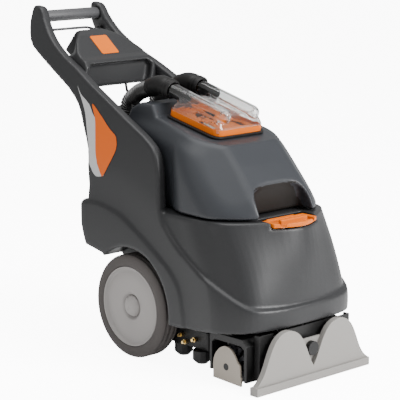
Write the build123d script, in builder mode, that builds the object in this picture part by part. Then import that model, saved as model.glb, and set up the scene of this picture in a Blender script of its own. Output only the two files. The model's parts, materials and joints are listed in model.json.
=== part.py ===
"""Walk-behind carpet extractor: lower body on two wheels, lift-off recovery tank with a clear dome,
twin hoses, driven brush on a height-adjusted deck, floating vacuum shoe and handle frame.

Millimetres. X is across the machine, -Y is the front (the vacuum shoe), +Z is up. The origin is on the
floor, under the middle of the machine's bounding box.
"""
import os
from math import cos, radians, sin

from build123d import *

os.makedirs("parts", exist_ok=True)

# ---- driving dimensions ------------------------------------------------------------------------
SIDES = {"left": -1, "right": 1}      # left is -X

AXLE_Y, AXLE_Z = -20.0, 106.5         # the wheels stand on the floor, so AXLE_Z is also their radius
AXLE_R = 6.0
WHEEL_IN, WHEEL_OUT = 117.5, 162.5    # the tyre's two side faces, from the middle plane
HUB_R = 82.0
BUSH_R = 9.0
ARCH_R = 122.0
ARCH_IN = 112.0
RUN_GAP = 0.05                        # radial clearance of every running fit

SEAM_Z = 313.0                        # top of the lower body
WALL = 4.0
RAIL_T = 22.0                         # thickness of a side frame
HANDLE_Y, HANDLE_Z = 361.0, 663.0

BRUSH_Y, BRUSH_Z = -288.0, 37.0
BRUSH_R = 37.0
MOTOR_Y, MOTOR_Z = -196.0, 68.0
ROTOR_R = 22.0

SHOE_Y = -384.0                       # front of the vacuum shoe's lip
SHOE_HALF = 158.0

TUBE_X = 39.0                         # the two inlet tubes of the dome
TUBE_R = 14.5
TUBE_FRONT = (-178.0, 496.0)          # tube axis, Y and Z of its front end
TUBE_REAR = (-18.0, 536.0)            # and of the parting plane with the hose cuff
HOSE_R = 17.5


def save(piece, label):
    """Labels one finished piece and writes it as its own STEP file."""
    piece.part.label = label
    export_step(piece.part, f"parts/{label}.step")


def flare(inset=0.0, side=1):
    """The machine's outer side as seen from the front: X grows narrower from the floor to the handle."""
    outer = [(168, 0), (168, 150), (163, 250), (154, 350), (141, 450), (120, 550), (95, 650), (86, 720)]
    return [((x - inset) * side, z) for x, z in outer]


def front_band(inset, thickness, side):
    """Closed front-view outline of a wall that follows the flared side."""
    outside = flare(inset, side)
    inside = flare(inset + thickness, side)
    Spline(*outside[1:])
    Line(outside[-1], inside[-1])
    Spline(*inside[:0:-1])
    Line(inside[1], inside[0])
    Line(inside[0], outside[0])
    Line(outside[0], outside[1])


def front_envelope(inset=0.0):
    """Closed front-view outline of everything between the two flared sides."""
    right, left = flare(inset, 1), flare(inset, -1)
    Spline(*right[1:])
    Line(right[-1], left[-1])
    Spline(*left[:0:-1])
    Line(left[1], left[0])
    Line(left[0], right[0])
    Line(right[0], right[1])


def plan(half, rear, side_front, corner, front):
    """Closed plan outline: straight sides and rear, one bowed curve round the front."""
    cx, cy = corner
    Line((half, rear), (half, side_front))
    Spline((half, side_front), (cx, cy), (0, front), (-cx, cy), (-half, side_front),
           tangents=[(0, -1), (0, 1)])
    Line((-half, side_front), (-half, rear))
    Line((-half, rear), (half, rear))


# ---- lower body --------------------------------------------------------------------------------
# Plan sections of the belly, from the skirt up to the seam: height, half width, front of the straight
# side, a point on the corner, and the front.
BELLY = [
    (100, 166, -262, (132, -339), -361),
    (140, 168, -262, (134, -343), -367),
    (156, 167, -258, (131, -338), -362),
    (235, 163, -225, (130, -308), -358),
    (308, 157, -190, (130, -270), -346),
]


def belly_loft(inset, bottom, top):
    """The belly as a solid, inset from its outer skin and extended to the given heights."""
    sections = []
    for z, half, side_front, (cx, cy), front in BELLY:
        height = {BELLY[0][0]: bottom, BELLY[-1][0]: top}.get(z, z)
        with BuildSketch(Plane.XY.offset(height)) as section:
            with BuildLine():
                plan(half - inset, 142 - inset, side_front, (cx - inset * 0.7, cy + inset * 0.7),
                     front + inset)
            make_face()
        sections.append(section.sketch)
    return loft(sections, ruled=True)


def side_view_lower(inset):
    """Closed side-view outline of the lower body: stepped rear, cut away over the wheels."""
    top = SEAM_Z - inset
    rear = [(140 - inset, top), (138 - inset, 262), (121 - inset, 210 + inset), (62 - inset, 204 + inset)]
    Polyline(*rear, (62 - inset, 96), (-190, 94), (-300, 104), (-400, 112), (-400, top), close=True)


belly_skin = belly_loft(0, 90, SEAM_Z)
belly_hollow = belly_loft(WALL, 60, SEAM_Z)

with BuildPart(mode=Mode.PRIVATE) as arched_body:
    with BuildSketch(Plane.YZ):
        with BuildLine():
            side_view_lower(0)
        make_face()
    extrude(amount=200, both=True)
    add(belly_skin, mode=Mode.INTERSECT)
    for wheel_side in SIDES.values():
        with BuildSketch(Plane.YZ.offset(wheel_side * ARCH_IN)):
            with Locations((AXLE_Y, AXLE_Z)):
                Circle(ARCH_R)
        extrude(amount=wheel_side * 80, mode=Mode.SUBTRACT)
        with BuildSketch(Plane.YZ.offset(wheel_side * 100)):
            with Locations((AXLE_Y, AXLE_Z)):
                Circle(AXLE_R + 1)
        extrude(amount=wheel_side * 20, mode=Mode.SUBTRACT)

with BuildPart(mode=Mode.PRIVATE) as hollow:
    with BuildSketch(Plane.YZ):
        with BuildLine():
            side_view_lower(WALL)
        make_face()
    extrude(amount=200, both=True)
    with BuildSketch(Plane.YZ):
        with Locations((-150, 80)):
            Rectangle(560, 60)
    extrude(amount=200, both=True)
    add(belly_hollow, mode=Mode.INTERSECT)
    for wheel_side in SIDES.values():
        with BuildSketch(Plane.YZ.offset(wheel_side * (ARCH_IN - WALL))):
            with Locations((AXLE_Y, AXLE_Z)):
                Circle(ARCH_R + WALL)
        extrude(amount=wheel_side * 90, mode=Mode.SUBTRACT)

FILL_Y, FILL_X = -306.0, 60.0          # middle and half width of the filler opening
HOSE_PORT_Y = 91.0
LID_HINGE_Y, LID_HINGE_Z = -284.5, 307.0
LID_SEAT = 301.0
with BuildPart() as lower_body:
    add(arched_body.part)
    add(hollow.part, mode=Mode.SUBTRACT)
    with BuildSketch(Plane.XY.offset(SEAM_Z - 30)):
        with Locations((0, FILL_Y)):
            RectangleRounded(2 * FILL_X, 52, 6)
        with Locations((-TUBE_X, HOSE_PORT_Y), (TUBE_X, HOSE_PORT_Y)):
            Circle(HOSE_R + 0.5)
    extrude(amount=60, mode=Mode.SUBTRACT)
    with BuildSketch(Plane.XY.offset(LID_SEAT)):
        with Locations((0, -340)):
            Rectangle(2 * FILL_X, 40)
    extrude(amount=60, mode=Mode.SUBTRACT)
    for side in SIDES.values():
        with BuildSketch(Plane.YZ.offset(side * FILL_X)):
            with Locations((LID_HINGE_Y, LID_HINGE_Z - 1)):
                Rectangle(9, 8)
            with Locations((LID_HINGE_Y, LID_HINGE_Z)):
                Circle(1.5, mode=Mode.SUBTRACT)
        extrude(amount=side * 5)
save(lower_body, "lower_body")

# ---- side frames: panel, rail and handle ear ---------------------------------------------------
def side_frame_outline():
    """Closed side-view outline of a side frame, corners to be rounded afterwards."""
    Polyline((-107, SEAM_Z), (-86, 430), (300, 617), (350, 690), (374, 692), (384, 652), (383, 612),
             (190, 513), (124, 395), (118, SEAM_Z), close=True)


FRAME_ROUNDS = {(-86, 430): 26, (300, 617): 70, (350, 690): 9, (374, 692): 9, (384, 652): 20,
                (383, 612): 22, (190, 513): 60, (124, 395): 60}

for name, side in SIDES.items():
    with BuildPart() as side_frame:
        with BuildSketch(Plane.YZ) as frame_side:
            with BuildLine():
                side_frame_outline()
            make_face()
            for (y, z), radius in FRAME_ROUNDS.items():
                corner = frame_side.vertices().sort_by_distance((y, z, 0))[0]
                fillet(corner, radius)
        extrude(amount=side * 200)
        with BuildSketch(Plane.XZ):
            with BuildLine():
                front_band(0, RAIL_T, side)
            make_face()
        extrude(amount=450, both=True, mode=Mode.INTERSECT)
        with BuildSketch(Plane.YZ.offset(side * 60)):
            with Locations((HANDLE_Y, HANDLE_Z)):
                Circle(13.0)
        extrude(amount=side * 22, mode=Mode.SUBTRACT)
    save(side_frame, f"side_frame_{name}")

# ---- console and its controls ------------------------------------------------------------------
def hump_plan(half_front, half_rear):
    """Closed plan outline of the console: full width at the front, narrowing to the rear facet."""
    right = [(half_front, 180), (half_front, 225), (half_rear + 34, 256), (half_rear, 290), (half_rear, 350)]
    Polyline(*right, *[(-x, y) for x, y in right[::-1]], close=True)


REAR_FACET = Plane(origin=(0, 317.5, 611), x_dir=(1, 0, 0), z_dir=Vector(0, 42, 29).normalized())
SWITCH_X, SWITCH_UP, INLET_DOWN = 17.0, 12.0, 12.5
with BuildPart() as console:
    with BuildSketch(Plane.YZ):
        with BuildLine():
            Polyline((197, 526), (197, 570), (203, 580), (216, 586), (268, 626), (290, 636), (303, 632),
                     (332, 590), (212, 527), close=True)
        make_face()
    extrude(amount=130, both=True)
    with BuildSketch(Plane.XY.offset(500)):
        with BuildLine():
            hump_plan(120, 36)
        make_face()
    extrude(amount=160, mode=Mode.INTERSECT)
    with BuildSketch(Plane.YZ):
        with BuildLine():
            Polyline((197, 526), (197, 566), (226, 585), (262, 588), (262, 556), (212, 527), close=True)
        make_face()
    extrude(amount=130, both=True)
    with BuildSketch(Plane.XZ):
        with BuildLine():
            front_envelope(RAIL_T + 0.2)
        make_face()
    extrude(amount=450, both=True, mode=Mode.INTERSECT)
    with BuildPart(mode=Mode.PRIVATE) as console_hollow:
        with BuildSketch(Plane.YZ):
            with BuildLine():
                Polyline((203, 532), (203, 566), (208, 574), (220, 580), (271, 619), (290, 629), (299, 626),
                         (323, 592), (211, 532), close=True)
            make_face()
        extrude(amount=78, both=True)
        with BuildSketch(Plane.XY.offset(500)):
            with BuildLine():
                hump_plan(76, 31)
            make_face()
        extrude(amount=160, mode=Mode.INTERSECT)
    add(console_hollow.part, mode=Mode.SUBTRACT)
    with BuildSketch(REAR_FACET):
        with Locations((-SWITCH_X, -SWITCH_UP), (SWITCH_X, -SWITCH_UP)):
            Rectangle(28.4, 15.4)
        with Locations((0, INLET_DOWN)):
            Circle(9.1)
    extrude(amount=14, both=True, mode=Mode.SUBTRACT)
save(console, "console")

slope = Plane(origin=(-4, 242, 606), x_dir=(1, 0, 0), z_dir=Vector(0, -40, 52).normalized())
with BuildPart() as console_plate:
    with BuildSketch(slope):
        RectangleRounded(46, 56, 4)
    extrude(amount=1.2)
save(console_plate, "console_plate")

for name, side in SIDES.items():
    rocker_plane = Plane(REAR_FACET.origin + REAR_FACET.x_dir * SWITCH_X * side - REAR_FACET.y_dir * SWITCH_UP,
                         x_dir=(1, 0, 0), z_dir=REAR_FACET.z_dir)
    with BuildPart() as rocker:
        with BuildSketch(rocker_plane.offset(-8)):
            Rectangle(26, 14)
        extrude(amount=10.5)
        outward = Axis(rocker_plane.origin, REAR_FACET.z_dir)
        chamfer(rocker.faces().sort_by(outward)[-1].edges(), 1.2)
    save(rocker, f"rocker_switch_{name}")

with BuildPart() as power_inlet:
    with BuildSketch(REAR_FACET.offset(-12)):
        with Locations((0, INLET_DOWN)):
            Circle(9)
    extrude(amount=12)
    with BuildSketch(REAR_FACET):
        with Locations((0, INLET_DOWN)):
            Circle(12)
    extrude(amount=3)
    with BuildSketch(REAR_FACET):
        with Locations((0, INLET_DOWN)):
            Circle(5)
    extrude(amount=20, both=True, mode=Mode.SUBTRACT)
save(power_inlet, "power_inlet")

# ---- handlebar and bail lever ------------------------------------------------------------------
with BuildPart() as handlebar:
    with BuildSketch(Plane.YZ.offset(-81)):
        with Locations((HANDLE_Y, HANDLE_Z)):
            Circle(12.9)
            Circle(9.5, mode=Mode.SUBTRACT)
    extrude(amount=162)
save(handlebar, "handlebar")

BAIL_Y, BAIL_Z, BAIL_R = 352.0, 627.0, 3.0
BAIL_GRIP_Y = 380.0
with BuildPart() as bail_lever:
    with BuildLine() as bail_line:
        FilletPolyline((-73, BAIL_Y, BAIL_Z), (-62, BAIL_Y, BAIL_Z), (-60, BAIL_GRIP_Y, 630),
                       (60, BAIL_GRIP_Y, 630), (62, BAIL_Y, BAIL_Z), (73, BAIL_Y, BAIL_Z), radius=6)
    with BuildSketch(Plane(origin=(-73, BAIL_Y, BAIL_Z), z_dir=(1, 0, 0))):
        Circle(BAIL_R)
    sweep(path=bail_line.line)
save(bail_lever, "bail_lever")

with BuildPart() as bail_pivots:
    for side in SIDES.values():
        with BuildSketch(Plane.YZ.offset(side * 70)):
            with Locations((BAIL_Y, BAIL_Z)):
                Circle(7)
                Circle(BAIL_R + RUN_GAP, mode=Mode.SUBTRACT)
        extrude(amount=side * 30)
    with BuildSketch(Plane.XZ):
        with BuildLine():
            front_envelope(RAIL_T + 0.05)
        make_face()
    extrude(amount=450, both=True, mode=Mode.INTERSECT)
save(bail_pivots, "bail_pivots")

# ---- rear cover --------------------------------------------------------------------------------
with BuildPart() as rear_cover:
    with BuildSketch(Plane.YZ):
        with BuildLine():
            Polyline((115, SEAM_Z + 0.5), (120, 395), (176, 482), (172.5, 484), (116.5, 396),
                     (111.5, SEAM_Z + 0.5), close=True)
        make_face()
    extrude(amount=140, both=True)
    with BuildSketch(Plane.XZ):
        with BuildLine():
            front_envelope(RAIL_T + 0.3)
        make_face()
    extrude(amount=450, both=True, mode=Mode.INTERSECT)
save(rear_cover, "rear_cover")

# ---- wheels, axle and chassis ------------------------------------------------------------------
WHEEL_MID = (WHEEL_IN + WHEEL_OUT) / 2
for name, side in SIDES.items():
    wheel_plane = Plane.XZ.offset(-AXLE_Y)
    with BuildPart() as tyre:
        with BuildSketch(wheel_plane):
            with Locations((side * WHEEL_MID, AXLE_Z + (HUB_R + AXLE_Z) / 2)):
                RectangleRounded(WHEEL_OUT - WHEEL_IN, AXLE_Z - HUB_R, 9)
        revolve(axis=Axis((0, AXLE_Y, AXLE_Z), (1, 0, 0)))
    save(tyre, f"tyre_{name}")

    with BuildPart() as hub:
        with BuildSketch(wheel_plane):
            with BuildLine():
                Polyline(*[(side * x, AXLE_Z + r) for x, r in
                           [(122, BUSH_R), (122, 20), (147, 24), (147, 70), (121, 76), (121, HUB_R),
                            (160, HUB_R), (160, 78), (156, 74), (155, 24), (152, 22), (152, BUSH_R)]],
                         close=True)
            make_face()
        revolve(axis=Axis((0, AXLE_Y, AXLE_Z), (1, 0, 0)))
    save(hub, f"hub_{name}")

    with BuildPart() as wheel_bush:
        with BuildSketch(Plane.YZ.offset(side * 121)):
            with Locations((AXLE_Y, AXLE_Z)):
                Circle(BUSH_R)
                Circle(AXLE_R + RUN_GAP, mode=Mode.SUBTRACT)
        extrude(amount=side * 31)
    save(wheel_bush, f"wheel_bush_{name}")

    with BuildPart() as hub_cap:
        with BuildSketch(wheel_plane):
            with BuildLine():
                crown = [(side * 152.2, AXLE_Z + 22), (side * 159, AXLE_Z + 18), (side * 163, AXLE_Z)]
                Line((side * 161, AXLE_Z), (side * 157, AXLE_Z + 15))
                Line((side * 157, AXLE_Z + 15), (side * 152.2, AXLE_Z + 18))
                Line((side * 152.2, AXLE_Z + 18), crown[0])
                Spline(*crown)
                Line(crown[-1], (side * 161, AXLE_Z))
            make_face()
        revolve(axis=Axis((0, AXLE_Y, AXLE_Z), (1, 0, 0)))
    save(hub_cap, f"hub_cap_{name}")

with BuildPart() as axle:
    with BuildSketch(Plane.YZ.offset(-155)):
        with Locations((AXLE_Y, AXLE_Z)):
            Circle(AXLE_R)
    extrude(amount=310)
    for side in SIDES.values():
        with BuildSketch(Plane.YZ.offset(side * 152.6)):
            with Locations((AXLE_Y, AXLE_Z)):
                Circle(AXLE_R)
                Circle(AXLE_R - 1, mode=Mode.SUBTRACT)
        extrude(amount=side * 1.1, mode=Mode.SUBTRACT)
save(axle, "axle")

with BuildPart() as axle_clips:
    for side in SIDES.values():
        with BuildSketch(Plane.YZ.offset(side * 152.65)):
            with Locations((AXLE_Y, AXLE_Z)):
                Circle(10)
                Circle(AXLE_R - 0.95, mode=Mode.SUBTRACT)
            with Locations((AXLE_Y + 8, AXLE_Z)):
                Rectangle(10, 3, mode=Mode.SUBTRACT)
        extrude(amount=side * 1.0)
save(axle_clips, "axle_clips")

CHASSIS_Z = 118.0
with BuildPart() as chassis_plate:
    with BuildSketch(Plane.XY.offset(CHASSIS_Z)):
        with Locations((0, -48)):
            Rectangle(2 * (ARCH_IN - WALL) - 1, 204)
        with Locations((0, -224)):
            Rectangle(306, 152)
        with Locations((-70, -246), (70, -246), (-70, -60), (70, -60)):
            Circle(8, mode=Mode.SUBTRACT)
    extrude(amount=4)
    for side in SIDES.values():
        with BuildSketch(Plane.YZ.offset(side * 98)):
            with BuildLine():
                Polyline((AXLE_Y - 26, CHASSIS_Z), (AXLE_Y - 11, AXLE_Z - 13), (AXLE_Y + 11, AXLE_Z - 13),
                         (AXLE_Y + 26, CHASSIS_Z), close=True)
            make_face()
            with Locations((AXLE_Y, AXLE_Z)):
                Circle(AXLE_R + 0.02, mode=Mode.SUBTRACT)
        extrude(amount=side * 6)
save(chassis_plate, "chassis_plate")

# ---- machinery inside the lower body -----------------------------------------------------------
with BuildPart() as solution_tank:
    with BuildSketch(Plane.XY.offset(192)):
        with Locations((0, -230)):
            RectangleRounded(224, 140, 52)
    extrude(amount=98)
    with BuildSketch(Plane.XY.offset(195)):
        with Locations((0, -230)):
            RectangleRounded(218, 134, 49)
    extrude(amount=92, mode=Mode.SUBTRACT)
    with BuildSketch(Plane.XY.offset(290)):
        with Locations((0, -290)):
            RectangleRounded(96, 26, 8)
    extrude(amount=6)
    with BuildSketch(Plane.XY.offset(280)):
        with Locations((0, -290)):
            RectangleRounded(90, 20, 6)
    extrude(amount=20, mode=Mode.SUBTRACT)
save(solution_tank, "solution_tank")

with BuildPart() as vacuum_motor:
    with BuildSketch(Plane.XY.offset(CHASSIS_Z + 4)):
        with Locations((18, -2)):
            Circle(54)
    extrude(amount=46)
    with BuildSketch(Plane.XY.offset(CHASSIS_Z + 50)):
        with Locations((18, -2)):
            Circle(42)
    extrude(amount=84)
    chamfer(vacuum_motor.faces().sort_by(Axis.Z)[-1].edges(), 8)
save(vacuum_motor, "vacuum_motor")

with BuildPart() as pump:
    with BuildSketch(Plane.XY.offset(CHASSIS_Z + 4)):
        with Locations((-72, -96)):
            RectangleRounded(50, 66, 6)
    extrude(amount=34)
    with BuildSketch(Plane.XZ.offset(63)):
        with Locations((-72, CHASSIS_Z + 26)):
            Circle(16)
    extrude(amount=-30)
    with BuildSketch(Plane.XZ.offset(129)):
        with Locations((-84, CHASSIS_Z + 24), (-60, CHASSIS_Z + 24)):
            Circle(5)
    extrude(amount=14)
save(pump, "pump")

# ---- brush deck --------------------------------------------------------------------------------
END_X = 148.0                         # outer face of an end plate
HOUSING_END = 121.0                   # the belt runs beyond the housing's right-hand end
with BuildPart() as brush_housing:
    with BuildSketch(Plane.YZ.offset(-END_X + 4.2)):
        with BuildLine():
            Polyline((-340, 14), (-340, 86), (-328, 98), (-244, 98), (-238, 92), (-238, 22), (-244, 22),
                     (-244, 78), (-252, 84), (-324, 84), (-332, 78), (-332, 14), close=True)
        make_face()
    extrude(amount=END_X - 4.2 + HOUSING_END)
    with BuildSketch(Plane.XY.offset(98)):
        with Locations((-128, -284)):
            Circle(9)
    extrude(amount=-20, mode=Mode.SUBTRACT)
save(brush_housing, "brush_housing")

with BuildPart() as end_plates:
    for side in SIDES.values():
        with BuildSketch(Plane.YZ.offset(side * (END_X - 4))):
            with BuildLine():
                Polyline((-327, 24), (-329, 24), (-329, 6), (-252, 9), (-252, 34))
                Spline((-252, 34), (-261, 62), (-282, 77), (-306, 70), (-321, 50), (-327, 24),
                       tangents=[(0, 1), (0, -1)])
            make_face()
            with Locations((BRUSH_Y, BRUSH_Z)):
                Circle(7 + RUN_GAP, mode=Mode.SUBTRACT)
        extrude(amount=side * 4)
save(end_plates, "end_plates")

TUFT_ROWS, TUFTS = 10, 18
with BuildPart() as brush_core:
    with BuildSketch(Plane.YZ.offset(-138)):
        with Locations((BRUSH_Y, BRUSH_Z)):
            Circle(19)
    extrude(amount=256)
    with BuildSketch(Plane.YZ.offset(-END_X)):
        with Locations((BRUSH_Y, BRUSH_Z)):
            Circle(7)
    extrude(amount=2 * END_X)
save(brush_core, "brush_core")

with BuildPart() as brush_bristles:
    for row in range(TUFT_ROWS):
        turn = 360 / TUFT_ROWS * row
        row_plane = Plane(origin=(0, BRUSH_Y, BRUSH_Z), x_dir=(1, 0, 0),
                          z_dir=(0, cos(radians(turn)), sin(radians(turn))))
        shift = 7 if row % 2 else 0
        with BuildSketch(row_plane.offset(19.05)):
            with GridLocations(13, 0, TUFTS, 1):
                with Locations((shift - 13, 0)):
                    Rectangle(9, 6)
        extrude(amount=BRUSH_R - 19.05 - 0.4, taper=-6)
save(brush_bristles, "brush_bristles")

PULLEY_X = 124.0
BRUSH_PULLEY_R, MOTOR_PULLEY_R, BELT_T = 24.0, 12.0, 2.5
with BuildPart() as brush_pulley:
    with BuildSketch(Plane.YZ.offset(PULLEY_X)):
        with Locations((BRUSH_Y, BRUSH_Z)):
            Circle(BRUSH_PULLEY_R)
            Circle(7.02, mode=Mode.SUBTRACT)
    extrude(amount=10)
save(brush_pulley, "brush_pulley")

with BuildPart() as motor_pulley:
    with BuildSketch(Plane.YZ.offset(PULLEY_X)):
        with Locations((MOTOR_Y, MOTOR_Z)):
            Circle(MOTOR_PULLEY_R)
    extrude(amount=10)
    with BuildSketch(Plane.YZ.offset(-58)):
        with Locations((MOTOR_Y, MOTOR_Z)):
            Circle(ROTOR_R)
    extrude(amount=124)
    with BuildSketch(Plane.YZ.offset(66)):
        with Locations((MOTOR_Y, MOTOR_Z)):
            Circle(4)
    extrude(amount=PULLEY_X - 66)
save(motor_pulley, "motor_pulley")

with BuildPart() as brush_motor:
    with BuildSketch(Plane.YZ.offset(-70)):
        with Locations((MOTOR_Y, MOTOR_Z)):
            Circle(30)
    extrude(amount=150)
    with BuildSketch(Plane.YZ.offset(80)):
        with Locations((MOTOR_Y, MOTOR_Z)):
            Circle(12)
    extrude(amount=6)
    with BuildSketch(Plane.YZ.offset(60)):
        with Locations((MOTOR_Y, MOTOR_Z)):
            Circle(4 + RUN_GAP)
    extrude(amount=60, mode=Mode.SUBTRACT)
    with BuildSketch(Plane.YZ.offset(-60)):
        with Locations((MOTOR_Y, MOTOR_Z)):
            Circle(ROTOR_R + 0.5)
    extrude(amount=128, mode=Mode.SUBTRACT)
    with BuildSketch(Plane.XY.offset(52)):
        with Locations((-50, -230.9), (50, -230.9)):
            Rectangle(24, 14)
    extrude(amount=14)
save(brush_motor, "brush_motor")

with BuildPart() as drive_belt:
    with BuildSketch(Plane.YZ.offset(PULLEY_X + 1)) as belt_shape:
        with Locations((BRUSH_Y, BRUSH_Z)):
            Circle(BRUSH_PULLEY_R + 0.3 + BELT_T)
        with Locations((MOTOR_Y, MOTOR_Z)):
            Circle(MOTOR_PULLEY_R + 0.3 + BELT_T)
        make_hull()
    extrude(amount=8)
    with BuildSketch(Plane.YZ.offset(PULLEY_X - 1)):
        with Locations((BRUSH_Y, BRUSH_Z)):
            Circle(BRUSH_PULLEY_R + 0.3)
        with Locations((MOTOR_Y, MOTOR_Z)):
            Circle(MOTOR_PULLEY_R + 0.3)
        make_hull()
    extrude(amount=12, mode=Mode.SUBTRACT)
save(drive_belt, "drive_belt")

with BuildPart() as belt_cover:
    with BuildSketch(Plane.YZ.offset(PULLEY_X + 13)):
        with Locations((BRUSH_Y + 10, BRUSH_Z + 6)):
            Circle(29)
        with Locations((MOTOR_Y, MOTOR_Z)):
            Circle(20)
        make_hull()
        with Locations((BRUSH_Y, BRUSH_Z)):
            Circle(8, mode=Mode.SUBTRACT)
    extrude(amount=5)
save(belt_cover, "belt_cover")

with BuildPart() as height_knob:
    with BuildSketch(Plane.XY.offset(78)):
        with Locations((-128, -284)):
            Circle(8.95)
    extrude(amount=20.4)
    with BuildSketch(Plane.XY.offset(98.4)):
        with Locations((-128, -284)):
            RegularPolygon(14, 8)
    extrude(amount=9)
save(height_knob, "height_knob")

SPRAY_Y, SPRAY_Z = -347.0, 92.0
with BuildPart() as spray_bar:
    with BuildSketch(Plane.YZ.offset(-110)):
        with Locations((SPRAY_Y, SPRAY_Z)):
            RectangleRounded(8, 8, 2)
    extrude(amount=220)
save(spray_bar, "spray_bar")

with BuildPart() as spray_nozzles:
    for x in (-80, 0, 80):
        with BuildSketch(Plane.XY.offset(SPRAY_Z - 4)):
            with Locations((x, SPRAY_Y)):
                RegularPolygon(4.5, 6)
        extrude(amount=-8)
        with BuildSketch(Plane.XY.offset(SPRAY_Z - 12)):
            with Locations((x, SPRAY_Y)):
                Circle(3)
        extrude(amount=-5)
save(spray_nozzles, "spray_nozzles")

# ---- front housing and vacuum shoe -------------------------------------------------------------
PORT_X, PORT_Z, PORT_R = 74.0, 86.0, 14.0
KNOB_Z = 64.0
with BuildPart() as front_housing:
    with BuildSketch(Plane.XZ.offset(353)):
        with Locations((0, 63.5)):
            Rectangle(252, 87)
        for side in SIDES.values():
            with Locations((side * PORT_X, PORT_Z + 3.5)):
                Rectangle(2 * PORT_R + 2, 2 * PORT_R + 9, mode=Mode.SUBTRACT)
    extrude(amount=4)
    with BuildSketch(Plane.XY.offset(20)):
        with Locations((-124, -348), (124, -348)):
            Rectangle(4, 10)
    extrude(amount=87)
    with BuildSketch(Plane.XY.offset(103.5)):
        with Locations((0, -323)):
            Rectangle(144, 60)
        with Locations((0, SPRAY_Y)):
            Rectangle(12, 20, mode=Mode.SUBTRACT)
    extrude(amount=3.5)
    with BuildSketch(Plane.XY.offset(107)):
        with Locations((0, -296.5)):
            Rectangle(200, 7)
    extrude(amount=CHASSIS_Z - 107)
save(front_housing, "front_housing")


def shoe_outline():
    """Closed front view of the vacuum shoe: two humps with a valley between them, straight along the floor."""
    for side in SIDES.values():
        hump = [(0, 30), (16, 60), (46, 104), (73, 112), (98, 103), (118, 76), (131, 47), (SHOE_HALF, 16)]
        Spline(*[(side * x, z) for x, z in hump])
        Line((side * SHOE_HALF, 16), (side * SHOE_HALF, 0))
    Line((-SHOE_HALF, 0), (SHOE_HALF, 0))


with BuildPart() as vacuum_shoe:
    with BuildSketch(Plane.XZ.offset(368)):
        with BuildLine():
            shoe_outline()
        make_face()
    extrude(amount=12)
    for side in SIDES.values():
        with BuildSketch(Plane.XZ.offset(370.5)):
            with BuildLine():
                hump = [(22, 10), (30, 52), (50, 92), (73, 107), (95, 98), (113, 73), (126, 44), (146, 10)]
                Spline(*[(side * x, z) for x, z in hump])
                Line((side * 146, 10), (side * 22, 10))
            make_face()
        extrude(amount=7, mode=Mode.SUBTRACT)
    with BuildSketch(Plane.XY):
        with Locations((0, (SHOE_Y - 364) / 2)):
            Rectangle(2 * SHOE_HALF, -SHOE_Y - 364)
    extrude(amount=16)
    with BuildSketch(Plane.XY):
        with Locations((0, -374)):
            Rectangle(2 * SHOE_HALF - 12, 7)
    extrude(amount=12, mode=Mode.SUBTRACT)
    with BuildSketch(Plane.XZ.offset(365)):
        with BuildLine():
            Polyline((-30, 84), (30, 84), (44, 60), (10, 24), (-10, 24), (-44, 60), close=True)
        make_face()
    extrude(amount=4)
    for side in SIDES.values():
        with BuildSketch(Plane.XZ.offset(352.5)):
            with Locations((side * PORT_X, PORT_Z)):
                Circle(PORT_R)
        extrude(amount=16)
        with BuildSketch(Plane.XZ.offset(350)):
            with Locations((side * PORT_X, PORT_Z)):
                Circle(PORT_R - 2)
        extrude(amount=23, mode=Mode.SUBTRACT)
    with BuildSketch(Plane.XZ.offset(350)):
        with Locations((0, KNOB_Z)):
            Circle(3.05)
    extrude(amount=25, mode=Mode.SUBTRACT)
save(vacuum_shoe, "vacuum_shoe")

with BuildPart() as shoe_knob:
    with BuildSketch(Plane.XZ.offset(359)):
        with Locations((0, KNOB_Z)):
            Circle(3)
    extrude(amount=11)
    with BuildSketch(Plane.XZ.offset(369.3)):
        with Locations((0, KNOB_Z)):
            Circle(14)
            with PolarLocations(14.6, 12):
                Circle(1.4, mode=Mode.SUBTRACT)
    extrude(amount=10)
save(shoe_knob, "shoe_knob")

# ---- drain block and fittings ------------------------------------------------------------------
DRAINS = {"rear": (-97.0, -112.0), "front": (-112.0, -182.0)}
with BuildPart() as drain_block:
    with BuildSketch(Plane.XY.offset(42)):
        with Locations((-100, -147)):
            RectangleRounded(30, 112, 6)
    extrude(amount=36)
    with BuildSketch(Plane.XY.offset(78)):
        with Locations((-100, -186), (-100, -150)):
            Rectangle(14, 14)
    extrude(amount=CHASSIS_Z - 78)
save(drain_block, "drain_block")

for name, centre in DRAINS.items():
    with BuildPart() as drain_cap:
        with BuildSketch(Plane.XY.offset(14)):
            with Locations(centre):
                RegularPolygon(19, 10)
        extrude(amount=27.9)
        chamfer(drain_cap.faces().sort_by(Axis.Z)[0].edges(), 8)
    save(drain_cap, f"drain_cap_{name}")

with BuildPart() as brass_fittings:
    for y, z in ((-128, 62), (-140, 50), (-168, 60)):
        with BuildSketch(Plane.YZ.offset(-115)):
            with Locations((y, z)):
                RegularPolygon(5, 6)
        extrude(amount=-7)
        with BuildSketch(Plane.YZ.offset(-122)):
            with Locations((y, z)):
                Circle(3)
        extrude(amount=-5)
save(brass_fittings, "brass_fittings")

# ---- recovery tank -----------------------------------------------------------------------------
DECK_SLOPE = 11.9                     # the dome's seat falls towards the front
deck = Plane(origin=(0, -100, 470), x_dir=(1, 0, 0),
             z_dir=(0, -sin(radians(DECK_SLOPE)), cos(radians(DECK_SLOPE))))


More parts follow.
